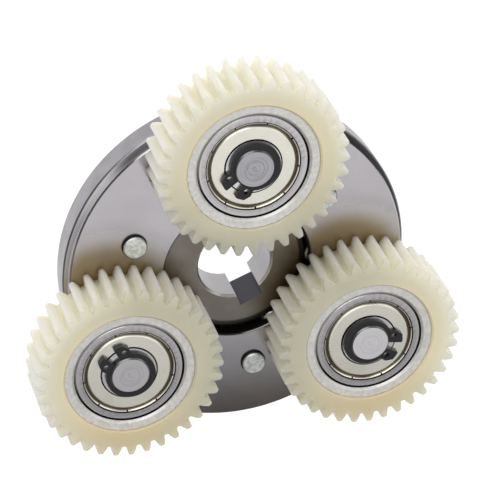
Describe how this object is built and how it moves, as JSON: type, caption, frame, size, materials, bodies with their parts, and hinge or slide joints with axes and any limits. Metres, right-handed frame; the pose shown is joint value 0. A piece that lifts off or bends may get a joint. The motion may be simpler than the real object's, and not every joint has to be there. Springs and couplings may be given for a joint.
{
  "type": "planetary gear set",
  "caption": "Planet carrier with a one-way roller clutch, keyed bore and nylon planet gears on shielded ball bearings, as used in a geared hub motor.",
  "frame": {"origin": "on the main axis at the rear face of the clutch's inner race", "axes": "+Z along the main axis towards the planet gears; +Y from the main axis to planet 1"},
  "size_m": [0.0874, 0.0827, 0.0234],
  "materials": {
    "nylon": "satin translucent",
    "cage_nylon": "satin",
    "sleeve_steel": "turned",
    "race_steel": "ground",
    "ball_steel": "polished",
    "shield_steel": "pressed",
    "circlip_steel": "blackened",
    "pin_steel": "turned",
    "spacer_steel": "turned",
    "plate_steel": "satin ground",
    "ring_steel": "satin ground",
    "cover_steel": "satin ground",
    "hub_steel": "satin ground",
    "dowel_steel": "bright frosted",
    "roller_steel": "ground",
    "spring_steel": "drawn"
  },
  "bodies": {
    "carrier": {"carrier_plate": "plate_steel", "cam_ring": "ring_steel", "rear_cover": "cover_steel", "planet_pin_1": "pin_steel", "pin_spacer_1": "spacer_steel", "bearing_inner_race_1": "race_steel", "circlip_1": "circlip_steel", "assembly_pin_1": "dowel_steel", "planet_pin_2": "pin_steel", "pin_spacer_2": "spacer_steel", "bearing_inner_race_2": "race_steel", "circlip_2": "circlip_steel", "assembly_pin_2": "dowel_steel", "planet_pin_3": "pin_steel", "pin_spacer_3": "spacer_steel", "bearing_inner_race_3": "race_steel", "circlip_3": "circlip_steel", "assembly_pin_3": "dowel_steel", "roller_spring_1": "spring_steel", "roller_spring_2": "spring_steel", "roller_spring_3": "spring_steel", "roller_spring_4": "spring_steel", "roller_spring_5": "spring_steel", "roller_spring_6": "spring_steel"},
    "hub": {"clutch_inner_race": "hub_steel", "hub_retaining_ring": "circlip_steel"},
    "planet_1": {"planet_gear_1": "nylon", "gear_sleeve_1": "sleeve_steel", "bearing_outer_race_1": "race_steel", "bearing_front_shield_1": "shield_steel", "bearing_rear_shield_1": "shield_steel"},
    "ball_set_1": {"bearing_balls_1": "ball_steel", "bearing_cage_1": "cage_nylon"},
    "planet_2": {"planet_gear_2": "nylon", "gear_sleeve_2": "sleeve_steel", "bearing_outer_race_2": "race_steel", "bearing_front_shield_2": "shield_steel", "bearing_rear_shield_2": "shield_steel"},
    "ball_set_2": {"bearing_balls_2": "ball_steel", "bearing_cage_2": "cage_nylon"},
    "planet_3": {"planet_gear_3": "nylon", "gear_sleeve_3": "sleeve_steel", "bearing_outer_race_3": "race_steel", "bearing_front_shield_3": "shield_steel", "bearing_rear_shield_3": "shield_steel"},
    "ball_set_3": {"bearing_balls_3": "ball_steel", "bearing_cage_3": "cage_nylon"},
    "roller_1": {"roller_1": "roller_steel"},
    "roller_2": {"roller_2": "roller_steel"},
    "roller_3": {"roller_3": "roller_steel"},
    "roller_4": {"roller_4": "roller_steel"},
    "roller_5": {"roller_5": "roller_steel"},
    "roller_6": {"roller_6": "roller_steel"}
  },
  "joints": [
    {"name": "hub_freewheel", "type": "hinge", "parent": "carrier", "child": "hub", "pos_m": [0, 0, 0.0045], "axis": [0, 0, 1], "continuous": true},
    {"name": "planet_1_spin", "type": "hinge", "parent": "carrier", "child": "planet_1", "pos_m": [0, 0.0285, 0.0186], "axis": [0, 0, 1], "continuous": true},
    {"name": "ball_set_1_orbit", "type": "hinge", "parent": "carrier", "child": "ball_set_1", "pos_m": [0, 0.0285, 0.0186], "axis": [0, 0, 1], "continuous": true},
    {"name": "planet_2_spin", "type": "hinge", "parent": "carrier", "child": "planet_2", "pos_m": [-0.02468, -0.01425, 0.0186], "axis": [0, 0, 1], "continuous": true},
    {"name": "ball_set_2_orbit", "type": "hinge", "parent": "carrier", "child": "ball_set_2", "pos_m": [-0.02468, -0.01425, 0.0186], "axis": [0, 0, 1], "continuous": true},
    {"name": "planet_3_spin", "type": "hinge", "parent": "carrier", "child": "planet_3", "pos_m": [0.02468, -0.01425, 0.0186], "axis": [0, 0, 1], "continuous": true},
    {"name": "ball_set_3_orbit", "type": "hinge", "parent": "carrier", "child": "ball_set_3", "pos_m": [0.02468, -0.01425, 0.0186], "axis": [0, 0, 1], "continuous": true},
    {"name": "roller_1_spin", "type": "hinge", "parent": "carrier", "child": "roller_1", "pos_m": [0.01723, 0, 0.00685], "axis": [0, 0, 1], "continuous": true},
    {"name": "roller_2_spin", "type": "hinge", "parent": "carrier", "child": "roller_2", "pos_m": [0.00861, 0.01492, 0.00685], "axis": [0, 0, 1], "continuous": true},
    {"name": "roller_3_spin", "type": "hinge", "parent": "carrier", "child": "roller_3", "pos_m": [-0.00861, 0.01492, 0.00685], "axis": [0, 0, 1], "continuous": true},
    {"name": "roller_4_spin", "type": "hinge", "parent": "carrier", "child": "roller_4", "pos_m": [-0.01723, 0, 0.00685], "axis": [0, 0, 1], "continuous": true},
    {"name": "roller_5_spin", "type": "hinge", "parent": "carrier", "child": "roller_5", "pos_m": [-0.00861, -0.01492, 0.00685], "axis": [0, 0, 1], "continuous": true},
    {"name": "roller_6_spin", "type": "hinge", "parent": "carrier", "child": "roller_6", "pos_m": [0.00861, -0.01492, 0.00685], "axis": [0, 0, 1], "continuous": true}
  ],
  "couplings": [
    {"joint": "ball_set_1_orbit", "follows": "planet_1_spin", "ratio": 0.6323},
    {"joint": "ball_set_2_orbit", "follows": "planet_2_spin", "ratio": 0.6323},
    {"joint": "ball_set_3_orbit", "follows": "planet_3_spin", "ratio": 0.6323},
    {"joint": "roller_1_spin", "follows": "hub_freewheel", "ratio": -5.88},
    {"joint": "roller_2_spin", "follows": "hub_freewheel", "ratio": -5.88},
    {"joint": "roller_3_spin", "follows": "hub_freewheel", "ratio": -5.88},
    {"joint": "roller_4_spin", "follows": "hub_freewheel", "ratio": -5.88},
    {"joint": "roller_5_spin", "follows": "hub_freewheel", "ratio": -5.88},
    {"joint": "roller_6_spin", "follows": "hub_freewheel", "ratio": -5.88}
  ]
}
